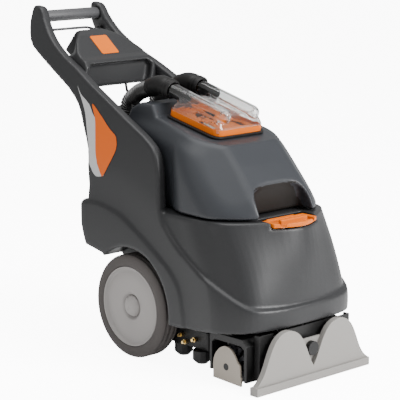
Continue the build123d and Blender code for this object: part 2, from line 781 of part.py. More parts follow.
def tank_solid(inset):
    """The recovery tank's outer form as the overlap of its side view, front view and plan."""
    with BuildPart(mode=Mode.PRIVATE) as form:
        with BuildSketch(Plane.YZ):
            with BuildLine():
                Polyline((66, 314.5), (68, 470), (58, 497), (32, 511), (-8, 511), (-24, 486), (-180, 453),
                         (-212, 447), (-276, 372), (-318, 318), (-318, 314.5), close=True)
            make_face()
            if inset:
                offset(amount=-inset, kind=Kind.INTERSECTION, mode=Mode.REPLACE)
        extrude(amount=180, both=True)
        with BuildSketch(Plane.XZ):
            with BuildLine():
                right = [(152, 300), (150, 345), (143, 400), (126, 440), (98, 462), (88, 490), (84, 530)]
                right = [(x - inset, z) for x, z in right]
                Spline(*right)
                Line(right[-1], (-right[-1][0], 530))
                Spline(*[(-x, z) for x, z in right[::-1]])
                Line((-right[0][0], 300), right[0])
            make_face()
        extrude(amount=400, both=True, mode=Mode.INTERSECT)
        with BuildSketch(Plane.XY.offset(300)):
            with BuildLine():
                sides = [(100, 80), (108, 0), (114, -60), (119, -98), (146, -150), (148, -205), (128, -262),
                         (78, -302), (0, -320)]
                Polyline(*sides, *[(-x, y) for x, y in sides[-2::-1]], close=True)
            make_face()
            if inset:
                offset(amount=-inset, kind=Kind.INTERSECTION, mode=Mode.REPLACE)
        extrude(amount=260, mode=Mode.INTERSECT)
    return form.part


RECESS_HALF, RECESS_BACK, RECESS_SPRING, RECESS_RISE = 76.0, 262.0, 345.0, 37.0


def recess_solid(grow):
    """The arched grip recess in the tank's front face."""
    with BuildPart(mode=Mode.PRIVATE) as recess:
        with BuildSketch(Plane.XZ.offset(RECESS_BACK - grow)):
            with BuildLine():
                half = RECESS_HALF + grow
                Polyline((-half, RECESS_SPRING), (-half, 300), (half, 300), (half, RECESS_SPRING))
                ThreePointArc((half, RECESS_SPRING), (0, RECESS_SPRING + RECESS_RISE + grow),
                              (-half, RECESS_SPRING))
            make_face()
        extrude(amount=90)
    return recess.part


tank_outer = tank_solid(0)
tank_inner = tank_solid(WALL)
tank_recess = recess_solid(0)
recess_lining = recess_solid(WALL)
with BuildPart() as recovery_tank:
    add(tank_outer - tank_recess)
    add(tank_inner - recess_lining, mode=Mode.SUBTRACT)
    with BuildSketch(deck):
        RectangleRounded(104, 130, 14)
    extrude(amount=14, both=True, mode=Mode.SUBTRACT)
save(recovery_tank, "recovery_tank")

with BuildPart() as dome_gasket:
    with BuildSketch(deck.offset(0.6)):
        RectangleRounded(144, 156, 20)
        RectangleRounded(116, 138, 12, mode=Mode.SUBTRACT)
    extrude(amount=5)
save(dome_gasket, "dome_gasket")

with BuildPart() as float_cage:
    with BuildSketch(Plane.XY.offset(380)):
        with Locations((0, -70)):
            Circle(19)
    extrude(amount=76)
    with BuildSketch(Plane.XY.offset(382)):
        with Locations((0, -70)):
            Circle(16.5)
    extrude(amount=72, mode=Mode.SUBTRACT)
    with BuildSketch(Plane.XZ.offset(60)):
        with Locations((0, 418)):
            RectangleRounded(14, 56, 4)
    extrude(amount=40, mode=Mode.SUBTRACT)
save(float_cage, "float_cage")

with BuildPart() as float_ball:
    with Locations((0, -70, 395)):
        Sphere(12.5)
save(float_ball, "float_ball")

# ---- dome, its tray and the tube sleeves -------------------------------------------------------
with BuildPart() as dome_tray:
    with BuildSketch(deck.offset(5.8)):
        RectangleRounded(130, 148, 16)
    extrude(amount=12)
    with BuildSketch(deck.offset(8.8)):
        RectangleRounded(122, 140, 12)
    extrude(amount=20, mode=Mode.SUBTRACT)
    with BuildSketch(deck):
        with Locations((0, 32)):
            Circle(21)
        with Locations((-TUBE_X, -20), (TUBE_X, -20)):
            SlotOverall(50, 16, rotation=90)
    extrude(amount=30, mode=Mode.SUBTRACT)
save(dome_tray, "dome_tray")

tube_line = Vector(0, TUBE_REAR[0] - TUBE_FRONT[0], TUBE_REAR[1] - TUBE_FRONT[1])
TUBE_L = tube_line.length
tube_dir = tube_line.normalized()


def tube_planes(along):
    """Planes square to the two inlet tubes, at a distance behind the tubes' front ends."""
    for side in SIDES.values():
        start = Vector(side * TUBE_X, *TUBE_FRONT) + tube_dir * along
        yield Plane(origin=start, x_dir=(1, 0, 0), z_dir=tube_dir)


def dome_solid(inset):
    """The dome's form: a tapered cap with two tubes running back out of it."""
    with BuildPart(mode=Mode.PRIVATE) as form:
        with BuildSketch(deck.offset(18)):
            RectangleRounded(130 - 2 * inset, 148 - 2 * inset, 16 - inset)
        extrude(amount=26 - inset, taper=32)
        for plane in tube_planes(8):
            with BuildSketch(plane):
                Circle(TUBE_R - inset)
            extrude(amount=TUBE_L - 8 + (40 if inset else 0))
            with Locations(plane.origin):
                Sphere(TUBE_R - inset)
    return form.part


dome_outer = dome_solid(0)
dome_inner = dome_solid(2.2)
with BuildPart() as clear_dome:
    add(dome_outer)
    add(dome_inner, mode=Mode.SUBTRACT)
    with BuildSketch(deck.offset(10)):
        RectangleRounded(118, 136, 12)
    extrude(amount=9, mode=Mode.SUBTRACT)
save(clear_dome, "clear_dome")

SLEEVE_L = 46.0
with BuildPart() as tube_sleeves:
    for plane in tube_planes(TUBE_L - SLEEVE_L):
        with BuildSketch(plane):
            Circle(TUBE_R - 2.3)
            Circle(TUBE_R - 4.3, mode=Mode.SUBTRACT)
        extrude(amount=SLEEVE_L - 0.3)
save(tube_sleeves, "tube_sleeves")

# ---- cuffs and hoses ---------------------------------------------------------------------------
CUFF_R = 20.0
CUFF_END = (50.0, 535.0)
HOSE_ROUTE = [(120, 500), (128, 462), (98, 408), (91.5, 360), (HOSE_PORT_Y, 312)]
cuff_lines = []
with BuildPart() as hose_cuffs:
    for plane in tube_planes(TUBE_L + 0.3):
        with BuildLine() as cuff_line:
            FilletPolyline(plane.origin, plane.origin + tube_dir * 38, (plane.origin.X, *CUFF_END), radius=60)
        with BuildSketch(plane):
            Circle(CUFF_R)
            Circle(CUFF_R - 5, mode=Mode.SUBTRACT)
        sweep(path=cuff_line.line)
        cuff_lines.append(cuff_line.line)
save(hose_cuffs, "hose_cuffs")


def pipe(label, points, radii, outer, bore=0.0):
    """A hose, pipe or cable of straight runs joined by tangent arcs."""
    with BuildPart() as run:
        with BuildLine() as way:
            FilletPolyline(*points, radius=radii)
        with BuildSketch(Plane(origin=way.line @ 0, z_dir=way.line % 0)):
            Circle(outer)
            if bore:
                Circle(bore, mode=Mode.SUBTRACT)
        sweep(path=way.line)
    save(run, label)
    length = sum(edge.length for edge in way.edges())
    print(label, "length", round(length, 1), "volume per section", round(run.part.volume / length, 1),
          "radii", radii)


for name, cuff_line in zip(SIDES, cuff_lines):
    hose_start = cuff_line @ 1 + (cuff_line % 1) * 0.05
    route = [hose_start, hose_start + (cuff_line % 1) * 38]
    route += [Vector(hose_start.X, y, z) for y, z in HOSE_ROUTE]
    pipe(f"hose_{name}", route, [70, 34, 60, 90, 200], HOSE_R, HOSE_R - 3)

# ---- filler lid --------------------------------------------------------------------------------
with BuildPart() as fill_lid:
    with BuildSketch(Plane.XY.offset(LID_SEAT + 0.4)):
        with Locations((0, -319.5)):
            Rectangle(2 * FILL_X - 2, 61)
    extrude(amount=8)
    add(belly_skin, mode=Mode.INTERSECT)
    with BuildSketch(Plane.XY.offset(LID_SEAT + 8.4)):
        with Locations((0, -325)):
            RectangleRounded(80, 9, 4)
    extrude(amount=6)
    with BuildSketch(Plane.XY.offset(LID_SEAT - 5)):
        with Locations((0, FILL_Y)):
            RectangleRounded(90, 20, 8)
    extrude(amount=6)
    with BuildSketch(Plane.YZ.offset(-38)):
        with Locations((LID_HINGE_Y, LID_HINGE_Z)):
            Circle(3)
            with Locations((-4, 0)):
                Rectangle(6, 5)
    extrude(amount=76)
    with BuildSketch(Plane.YZ.offset(-64)):
        with Locations((LID_HINGE_Y, LID_HINGE_Z)):
            Circle(1.5 - RUN_GAP)
    extrude(amount=128)
save(fill_lid, "fill_lid")

# ---- pipes, cable and screws -------------------------------------------------------------------
pipe("suction_pipe", [(TUBE_X, HOSE_PORT_Y, 308), (TUBE_X, HOSE_PORT_Y, 268), (88, 36, 234), (88, 26, 168),
                      (88, -40, 158), (88, -280, 158), (76, -326, 142), (76, -326, 107.2)],
     [24, 26, 26, 60, 30, 16], 14, 12)
pipe("solution_hose", [(-60, -143.1, CHASSIS_Z + 24), (-60, -172, CHASSIS_Z + 24), (-50, -200, 152),
                       (-8, -290, 152), (0, -330, 136), (0, SPRAY_Y, 104), (0, SPRAY_Y, SPRAY_Z + 4.1)],
     [24, 24, 40, 20, 8], 3.5)
pipe("harness_cable", [(26, 208, 525.9), (27, 204, 506), (24, 176, 494), (20, 146, 468), (14, 118, 425),
                       (8, 100, 385), (4, 94, 345), (4, 92, SEAM_Z + 0.2)], [9, 18, 30, 50, 60, 60], 3)

with BuildPart() as cover_screws:
    for x in (-96, 96):
        for y, z in ((117.6, 352), (154, 445.4)):
            lean = (0, 1, -0.06) if y < 120 else (0, 87, -56)
            with BuildSketch(Plane(origin=(x, y, z), x_dir=(1, 0, 0), z_dir=lean)):
                Circle(4)
            extrude(amount=2.4)
save(cover_screws, "cover_screws")
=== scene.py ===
import json
import math

import bmesh
import bpy
import numpy as np
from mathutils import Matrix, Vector
from mathutils.bvhtree import BVHTree


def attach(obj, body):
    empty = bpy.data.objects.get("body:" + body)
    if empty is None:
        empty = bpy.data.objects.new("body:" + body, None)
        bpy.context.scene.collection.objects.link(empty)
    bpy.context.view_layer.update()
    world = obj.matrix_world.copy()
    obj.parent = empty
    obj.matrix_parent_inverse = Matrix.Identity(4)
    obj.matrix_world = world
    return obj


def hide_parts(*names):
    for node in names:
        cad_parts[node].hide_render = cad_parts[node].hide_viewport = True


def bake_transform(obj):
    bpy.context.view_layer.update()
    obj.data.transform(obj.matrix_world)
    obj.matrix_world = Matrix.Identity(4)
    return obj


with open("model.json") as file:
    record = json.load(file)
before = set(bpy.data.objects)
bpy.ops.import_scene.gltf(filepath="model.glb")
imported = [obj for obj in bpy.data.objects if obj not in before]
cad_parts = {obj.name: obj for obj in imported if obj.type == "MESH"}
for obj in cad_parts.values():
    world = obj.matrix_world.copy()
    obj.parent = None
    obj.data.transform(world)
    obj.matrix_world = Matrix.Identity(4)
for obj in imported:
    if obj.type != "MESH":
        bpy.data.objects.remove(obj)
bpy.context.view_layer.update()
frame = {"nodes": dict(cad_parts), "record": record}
nodes = frame["nodes"]
MM = 0.001

# ---- camera ------------------------------------------------------------------------------------
YAW, PITCH = math.radians(-42.87), math.radians(11.33)
camera_data = bpy.data.cameras.new("camera")
camera_data.lens = 147.53
camera_data.sensor_width = 36.0
camera_data.clip_start, camera_data.clip_end = 0.1, 50.0
camera = bpy.data.objects.new("camera", camera_data)
bpy.context.collection.objects.link(camera)
camera.location = (-2.24112, -2.46962, 0.9695)
back = Vector((math.sin(YAW) * math.cos(PITCH), -math.cos(YAW) * math.cos(PITCH), math.sin(PITCH)))
camera.rotation_mode = "QUATERNION"
camera.rotation_quaternion = (-back).to_track_quat("-Z", "Y")
bpy.context.scene.camera = camera


# ---- materials ---------------------------------------------------------------------------------
MOTTLE_SCALE, GRAIN_SCALE = 9.0, 400.0


def material(name, colour, rough, metal=0.0, bump=0.0, mottle=0.0,
             transmission=0.0, ior=1.45, specular=0.5):
    """A principled material with fine grain in the normal and a slow mottle in colour and roughness."""
    m = bpy.data.materials.new(name)
    m.use_nodes = True
    tree = m.node_tree
    bsdf = tree.nodes["Principled BSDF"]
    values = {"Base Color": (*colour, 1), "Roughness": rough, "Metallic": metal, "IOR": ior,
              "Transmission Weight": transmission, "Specular IOR Level": specular}
    for socket, value in values.items():
        bsdf.inputs[socket].default_value = value
    place = tree.nodes.new("ShaderNodeTexCoord")
    if mottle:
        slow = tree.nodes.new("ShaderNodeTexNoise")
        slow.inputs["Scale"].default_value = MOTTLE_SCALE
        slow.inputs["Detail"].default_value = 5
        tree.links.new(place.outputs["Object"], slow.inputs["Vector"])
        tone = tree.nodes.new("ShaderNodeMixRGB")
        tone.inputs[1].default_value = (*(c * (1 - mottle) for c in colour), 1)
        tone.inputs[2].default_value = (*(min(1, c * (1 + mottle)) for c in colour), 1)
        tree.links.new(slow.outputs["Fac"], tone.inputs[0])
        tree.links.new(tone.outputs[0], bsdf.inputs["Base Color"])
        span = tree.nodes.new("ShaderNodeMapRange")
        span.inputs["To Min"].default_value = max(0.02, rough - 0.06)
        span.inputs["To Max"].default_value = min(1, rough + 0.06)
        tree.links.new(slow.outputs["Fac"], span.inputs["Value"])
        tree.links.new(span.outputs[0], bsdf.inputs["Roughness"])
    if bump:
        fine = tree.nodes.new("ShaderNodeTexNoise")
        fine.inputs["Scale"].default_value = GRAIN_SCALE
        fine.inputs["Detail"].default_value = 3
        tree.links.new(place.outputs["Object"], fine.inputs["Vector"])
        relief = tree.nodes.new("ShaderNodeBump")
        relief.inputs["Strength"].default_value = bump
        relief.inputs["Distance"].default_value = 0.0004
        tree.links.new(fine.outputs["Fac"], relief.inputs["Height"])
        tree.links.new(relief.outputs["Normal"], bsdf.inputs["Normal"])
    return m


LOOKS = {
    "body_grey": dict(colour=(0.0125, 0.0127, 0.0134), rough=0.40, bump=0.2, mottle=0.06, specular=0.26),
    "tank_grey": dict(colour=(0.0148, 0.0162, 0.0190), rough=0.44, bump=0.2, mottle=0.06, specular=0.28),
    "orange_plastic": dict(colour=(0.42, 0.085, 0.0), rough=0.45, bump=0.08, mottle=0.03, specular=0.15),
    "clear_plastic": dict(colour=(0.96, 0.975, 0.97), rough=0.03, transmission=1.0, ior=1.49),
    "black_plastic": dict(colour=(0.0038, 0.0037, 0.0037), rough=0.42, bump=0.3, mottle=0.1, specular=0.28),
    "black_rubber": dict(colour=(0.0035, 0.0033, 0.0032), rough=0.5, bump=0.3, mottle=0.1, specular=0.22),
    "tyre_grey": dict(colour=(0.043, 0.038, 0.036), rough=0.75, bump=0.5, mottle=0.12, specular=0.3),
    "hub_grey": dict(colour=(0.185, 0.175, 0.168), rough=0.5, bump=0.2, mottle=0.04, specular=0.35),
    "shoe_grey": dict(colour=(0.155, 0.148, 0.138), rough=0.45, bump=0.15, mottle=0.03, specular=0.4),
    "plate_beige": dict(colour=(0.19, 0.166, 0.136), rough=0.42, bump=0.15, mottle=0.05),
    "steel": dict(colour=(0.62, 0.62, 0.63), rough=0.3, metal=1.0, bump=0.1, mottle=0.05),
    "painted_steel": dict(colour=(0.03, 0.03, 0.032), rough=0.5, bump=0.25, mottle=0.08),
    "aluminium": dict(colour=(0.66, 0.66, 0.67), rough=0.34, metal=1.0, bump=0.1, mottle=0.05),
    "brass": dict(colour=(0.72, 0.52, 0.22), rough=0.28, metal=1.0, bump=0.1, mottle=0.05),
    "bristle": dict(colour=(0.05, 0.05, 0.055), rough=0.55, bump=0.1, mottle=0.1),
    "nylon": dict(colour=(0.68, 0.66, 0.6), rough=0.45, bump=0.1, mottle=0.04),
}
MATS = {name: material(name, **look) for name, look in LOOKS.items()}
slots = {row["node"]: row["material_slot"] for row in frame["record"]["subparts"]}
for name, o in nodes.items():
    mat = MATS[slots[name]]
    if not o.material_slots:
        o.data.materials.append(mat)
    for s in o.material_slots:
        s.material = mat


def soften(o):
    """Welds a CAD node's seams and rounds its sharp edges, so that they catch the light."""
    weld = o.modifiers.new("weld", "WELD")
    weld.merge_threshold = 1e-6
    bevel = o.modifiers.new("bevel", "BEVEL")
    bevel.width = 1.2 * MM
    bevel.segments = 3
    bevel.limit_method = "ANGLE"
    bevel.angle_limit = math.radians(32)
    bevel.harden_normals = True
    bevel.use_clamp_overlap = True


# ---- floor, light ------------------------------------------------------------------------------
def plain(name, colour):
    m = bpy.data.materials.new(name)
    m.use_nodes = True
    m.node_tree.nodes["Principled BSDF"].inputs["Base Color"].default_value = (*colour, 1)
    m.node_tree.nodes["Principled BSDF"].inputs["Roughness"].default_value = 0.9
    return m


bpy.ops.mesh.primitive_plane_add(size=30, location=(0, 0, -0.0005))
floor = bpy.context.object
floor.name = "floor"
white = plain("floor", (0.9, 0.9, 0.9))
SEEN_GLOW, GLOW = 9.0, 0.3
shine = white.node_tree.nodes["Principled BSDF"]
shine.inputs["Emission Color"].default_value = (1, 1, 1, 1)
ray = white.node_tree.nodes.new("ShaderNodeLightPath")
gain = white.node_tree.nodes.new("ShaderNodeMath")
gain.operation = "MULTIPLY_ADD"
gain.inputs[1].default_value, gain.inputs[2].default_value = SEEN_GLOW, GLOW
white.node_tree.links.new(ray.outputs["Is Camera Ray"], gain.inputs[0])
white.node_tree.links.new(gain.outputs[0], shine.inputs["Emission Strength"])
floor.data.materials.append(white)

world = bpy.data.worlds.new("studio")
bpy.context.scene.world = world
world.use_nodes = True
world.node_tree.nodes["Background"].inputs["Color"].default_value = (1, 1, 1, 1)
world.node_tree.nodes["Background"].inputs["Strength"].default_value = 0.78


def lamp(name, place, target, size, power):
    data = bpy.data.lights.new(name, "AREA")
    data.shape = "RECTANGLE"
    data.size, data.size_y = size
    data.energy = power
    o = bpy.data.objects.new(name, data)
    bpy.context.collection.objects.link(o)
    o.location = place
    o.rotation_mode = "QUATERNION"
    o.rotation_quaternion = (Vector(target) - Vector(place)).to_track_quat("-Z", "Y")


lamp("key", (0.9, -3.0, 1.7), (0, 0, 0.3), (1.4, 1.6), 285)
lamp("top", (-0.3, -0.2, 3.0), (0, 0, 0.3), (2.6, 2.6), 140)
lamp("side", (-3.0, 0.2, 1.6), (0, 0, 0.35), (0.8, 1.8), 12)


# ---- tools for curved skins --------------------------------------------------------------------
def poly_distance(points, u, v):
    """Signed distance, negative inside, from a closed polygon to the points of two equal arrays."""
    best = np.full(u.shape, 1e12, np.float32)
    inside = np.zeros(u.shape, bool)
    for (ax, ay), (bx, by) in zip(points, list(points[1:]) + [points[0]]):
        ex, ey = bx - ax, by - ay
        wx, wy = u - ax, v - ay
        t = np.clip((wx * ex + wy * ey) / max(ex * ex + ey * ey, 1e-9), 0, 1)
        best = np.minimum(best, (wx - ex * t) ** 2 + (wy - ey * t) ** 2)
        crosses = ((ay <= v) & (by > v)) | ((by <= v) & (ay > v))
        inside ^= crosses & (wx < wy * ex / (ey if abs(ey) > 1e-9 else 1e-9))
    return np.where(inside, -1, 1) * np.sqrt(best)


def spline(points, per=6, closed=False):
    """A Catmull-Rom curve through the points."""
    p = [np.array(q, float) for q in points]
    n = len(p)
    out = []
    for i in range(n if closed else n - 1):
        near = [p[(i + k) % n] if closed else p[min(max(i + k, 0), n - 1)] for k in (-1, 0, 1, 2)]
        for t in np.arange(per) / per:
            c = (2 * near[1] + (near[2] - near[0]) * t
                 + (2 * near[0] - 5 * near[1] + 4 * near[2] - near[3]) * t ** 2
                 + (3 * near[1] - near[0] - 3 * near[2] + near[3]) * t ** 3) / 2
            out.append(tuple(c))
    return out if closed else out + [tuple(p[-1])]


def smax(a, b, k):
    """Both, with the edge between them rounded over about k."""
    h = np.clip(0.5 - 0.5 * (b - a) / k, 0, 1)
    return b + (a - b) * h + k * h * (1 - h)


def smin(a, b, k):
    return -smax(-a, -b, k)


def ramp(value, start, end):
    t = np.clip((value - start) / (end - start), 0, 1)
    return t * t * (3 - 2 * t)


class Grid:
    """A regular grid over the half X >= 0, in millimetres."""

    def __init__(self, x, y, z, step):
        self.step = step
        self.ax = [np.arange(lo, hi + step, step, dtype=np.float32) for lo, hi in ((0, x), y, z)]
        self.x = self.ax[0][:, None, None]
        self.y = self.ax[1][None, :, None]
        self.z = self.ax[2][None, None, :]

    def side(self, points):
        u, v = np.meshgrid(self.ax[1], self.ax[2], indexing="ij")
        return poly_distance(points, u, v)[None]

    def front(self, points):
        u, v = np.meshgrid(self.ax[0], self.ax[2], indexing="ij")
        return poly_distance(points, u, v)[:, None]

    def plan(self, points):
        u, v = np.meshgrid(self.ax[0], self.ax[1], indexing="ij")
        return poly_distance(points, u, v)[:, :, None]


def mesh_object(name, verts, faces, mat):
    data = bpy.data.meshes.new(name)
    data.from_pydata([tuple(v) for v in verts], [], [tuple(f) for f in faces])
    data.validate()
    data.polygons.foreach_set("use_smooth", [True] * len(data.polygons))
    data.update()
    o = bpy.data.objects.new(name, data)
    bpy.context.collection.objects.link(o)
    data.materials.append(MATS[mat])
    return o


def skin(name, grid, field, mat, relax=2):
    """Meshes the zero level of a half field and its mirror image, one vertex in each crossed cell."""
    field = np.broadcast_to(field, [len(a) for a in grid.ax]).astype(np.float32)
    field = np.concatenate([field[:0:-1], field])
    start = np.array([-grid.ax[0][-1], grid.ax[1][0], grid.ax[2][0]])
    inside = field < 0
    shape = np.array(field.shape)

    def at(values, c):
        return values[tuple(slice(k, n - 1 + k) for k, n in zip(c, shape))]

    corners = [(i, j, k) for i in (0, 1) for j in (0, 1) for k in (0, 1)]
    count = sum(at(inside, c).astype(np.int8) for c in corners)
    cells = np.argwhere((count > 0) & (count < 8))
    total, hits = np.zeros((len(cells), 3)), np.zeros(len(cells))
    for axis in range(3):
        for c in corners:
            if c[axis]:
                continue
            far = [k + (i == axis) for i, k in enumerate(c)]
            f0 = field[tuple((cells + c).T)]
            f1 = field[tuple((cells + far).T)]
            hit = (f0 < 0) != (f1 < 0)
            t = f0[hit] / (f0[hit] - f1[hit])
            total[hit] += c
            total[hit, axis] += t
            hits[hit] += 1
    verts = cells + total / hits[:, None]
    index = np.full(shape - 1, -1, np.int32)
    index[tuple(cells.T)] = np.arange(len(cells))
    faces = []
    for axis in range(3):
        b, c = (axis + 1) % 3, (axis + 2) % 3
        low = [slice(0, n - 1) for n in shape]
        for k in (b, c):
            low[k] = slice(1, shape[k] - 1)
        high = list(low)
        high[axis] = slice(1, shape[axis])
        here, there = inside[tuple(low)], inside[tuple(high)]
        edge = np.argwhere(here != there)
        base = edge + [s.start for s in low]
        eb, ec = np.eye(3, dtype=int)[b], np.eye(3, dtype=int)[c]
        quad = np.stack([index[tuple((base - d).T)] for d in (0 * eb, eb, eb + ec, ec)], 1)
        out = here[tuple(edge.T)]
        quad[out] = quad[out][:, ::-1]
        faces.append(quad[:, ::-1])
    faces = np.concatenate(faces)
    for _ in range(relax):
        total, hits = np.zeros_like(verts), np.zeros(len(verts))
        for i in range(4):
            np.add.at(total, faces[:, i], verts[faces[:, (i + 1) % 4]] + verts[faces[:, (i + 3) % 4]])
            np.add.at(hits, faces[:, i], 2)
        verts = verts * 0.4 + 0.6 * total / hits[:, None]
    return mesh_object(name, (verts * grid.step + start) * MM, faces, mat)


def rounded_path(points, radii, step):
    """Points along straight runs joined by tangent arcs."""
    p = [Vector(q) for q in points]
    out = [p[0]]
    for i, radius in enumerate(radii, 1):
        before, after = (p[i - 1] - p[i]).normalized(), (p[i + 1] - p[i]).normalized()
        half = before.angle(after) / 2
        reach = radius / math.tan(half)
        centre = p[i] + (before + after).normalized() * radius / math.sin(half)
        a, b = p[i] + before * reach - centre, p[i] + after * reach - centre
        sweep = a.angle(b)
        n = max(2, math.ceil(sweep * radius / step))
        for k in range(n + 1):
            t = k / n
            out.append(centre + (a * math.sin((1 - t) * sweep) + b * math.sin(t * sweep)) / math.sin(sweep))
    out.append(p[-1])
    return resample(out, step)


def resample(points, step):
    p = np.array([tuple(q) for q in points])
    gap = np.r_[0, np.cumsum(np.linalg.norm(np.diff(p, axis=0), axis=1))]
    at = np.linspace(0, gap[-1], max(2, round(gap[-1] / step)) + 1)
    return np.stack([np.interp(at, gap, p[:, k]) for k in range(3)], 1), at


def tube(name, path, radius, mat, around, bore=None):
    """A tube along a path in a YZ plane; radius is a function of the distance along it."""
    p, at = path
    ahead = np.gradient(p, axis=0)
    ahead /= np.linalg.norm(ahead, axis=1)[:, None]
    across = np.array([1.0, 0, 0])
    up = np.cross(ahead, across)
    up /= np.linalg.norm(up, axis=1)[:, None]
    turn = np.arange(around) * 2 * math.pi / around
    ring = np.cos(turn)[None, :, None] * across + np.sin(turn)[None, :, None] * up[:, None, :]
    layers = [p[:, None] + ring * radius(at)[:, None, None]]
    if bore:
        layers.append(p[::-1, None] + ring[::-1] * np.full(len(at), bore)[:, None, None])
    verts = np.concatenate([q.reshape(-1, 3) for q in layers])
    rings = len(verts) // around
    faces = []
    for i in range(rings if bore else rings - 1):
        for j in range(around):
            k = (j + 1) % around
            n = (i + 1) % rings
            faces.append((i * around + j, i * around + k, n * around + k, n * around + j))
    if not bore:
        faces += [tuple(range(around))[::-1], tuple(range((rings - 1) * around, rings * around))]
    return mesh_object(name, verts * MM, faces, mat)


def revolve(name, profile, centre, mat, side, around):
    """A solid of revolution about X; the profile is closed, as (X, radius)."""
    verts, faces = [], []
    n = len(profile)
    for k in range(around):
        t = 2 * math.pi * k / around
        for x, r in profile:
            verts.append((x * side * MM, centre[0] * MM + r * MM * math.cos(t),
                          centre[1] * MM + r * MM * math.sin(t)))
    for k in range(around):
        m = (k + 1) % around
        for i in range(n):
            j = (i + 1) % n
            quad = (k * n + i, k * n + j, m * n + j, m * n + i)
            faces.append(quad if side < 0 else quad[::-1])
    return mesh_object(name, verts, faces, mat)


def round_box(x, half_x, y, half_y, r):
    """Signed distance to a rectangle with rounded corners, in the half x >= 0."""
    dx, dy = x - half_x + r, np.abs(y) - half_y + r
    return np.sqrt(np.maximum(dx, 0) ** 2 + np.maximum(dy, 0) ** 2) + np.minimum(np.maximum(dx, dy), 0) - r


def bar_along_x(grid, y, z, r, half_length):
    """A round bar across the machine; less than zero inside it."""
    return np.maximum(np.sqrt((grid.y - y) ** 2 + (grid.z - z) ** 2) - r, grid.x - half_length)


# ---- body skin ---------------------------------------------------------------------------------
SEAM = 313.0                    # height of the joint between the lower body and the frame
RIDGE = 8.0                     # how far the belly stands out from the frame's front
FENDER_STEP = 3.0
WHEEL_ARCH_R = 121
AXLE = (-20.0, 106.5)
FLARE = spline([(168, 0), (168, 90), (167.5, 150), (163, 250), (154, 350), (141, 450), (120, 550), (95, 650),
                (86, 720)])
# Plan of the belly at some heights: Z, half width, end of the straight side, corner point, front
BELLY = [(80, 160, -250, (128, -330), -350), (100, 160, -262, (129, -337), -357),
         (156, 160, -256, (130, -337), -361), (235, 157, -225, (130, -310), -357),
         (308, 151, -190, (132, -272), -346)]
BELLY_ROWS = np.array(spline([(z, h, s, *c, f) for z, h, s, c, f in BELLY], 8))
FRONT_EDGE = spline([(368, 686), (354, 684), (345, 674), (336, 658), (320, 638), (303, 622), (280, 606),
                     (245, 587), (197, 566), (150, 542), (104, 521), (58, 500), (13, 479), (-31, 459),
                     (-57, 445), (-76, 430), (-88, 410), (-97, 379), (-103, 342), (-109, 313), (-126, 285),
                     (-170, 248), (-230, 213), (-262, 197), (-318, 169), (-345, 157), (-372, 151)])
REAR_EDGE = spline([(60, 97), (60, 166), (62, 203)], 2) + spline(
    [(118, 213), (128, 236), (136, 262), (139, 299)], 3) + [(134, 306), (120, 309)] + spline(
    [(119, 335), (124, 372), (129, 410), (152, 456), (176, 494), (212, 522), (246, 540), (325, 580),
     (366, 604), (381, 630), (385, 655), (380, 680), (374, 688)])
HEM = [(-420, 113), (-361, 112), (-297, 105), (-236, 98), (-181, 94), (-146, 92), (60, 94), (420, 94)]
FENDER = spline([(140, 299), (110, 302), (85, 303), (43, 297), (2, 285), (-47, 260), (-114, 222),
                 (-151, 194), (-172, 168), (-182, 135), (-187, 100)]) + [(-188, 60), (160, 60)]
TUBE_X = 39.0
HOSE_Y = 91


def half_width(heights):
    return np.interp(heights, [p[1] for p in FLARE], [p[0] for p in FLARE])


def belly_plan(z):
    """Outline of the belly's right half at one height, and its foremost point."""
    h, s, cx, cy, f = (np.interp(z, BELLY_ROWS[:, 0], BELLY_ROWS[:, i]) for i in range(1, 6))
    right = spline([(h, s + 40), (h, s), (h - 7, s - 34), (cx, cy), (cx * 0.55, (cy + f) / 2 - 7),
                    (0, f), (-cx * 0.55, (cy + f) / 2 - 7)], 5)
    return [(h, 420)] + [q for q in right if q[0] >= 0] + [(-40, f), (-40, 420)]


def belly_nose(grid):
    """Distance to the belly's skin; above the seam it goes straight up."""
    plan_x, plan_y = np.meshgrid(grid.ax[0], grid.ax[1], indexing="ij")
    nose = np.empty([len(a) for a in grid.ax], np.float32)
    last = None
    for k, z in enumerate(grid.ax[2]):
        if last is None or z <= SEAM + 12:
            last = poly_distance(belly_plan(z), plan_x, plan_y)
        nose[:, :, k] = last
    return nose


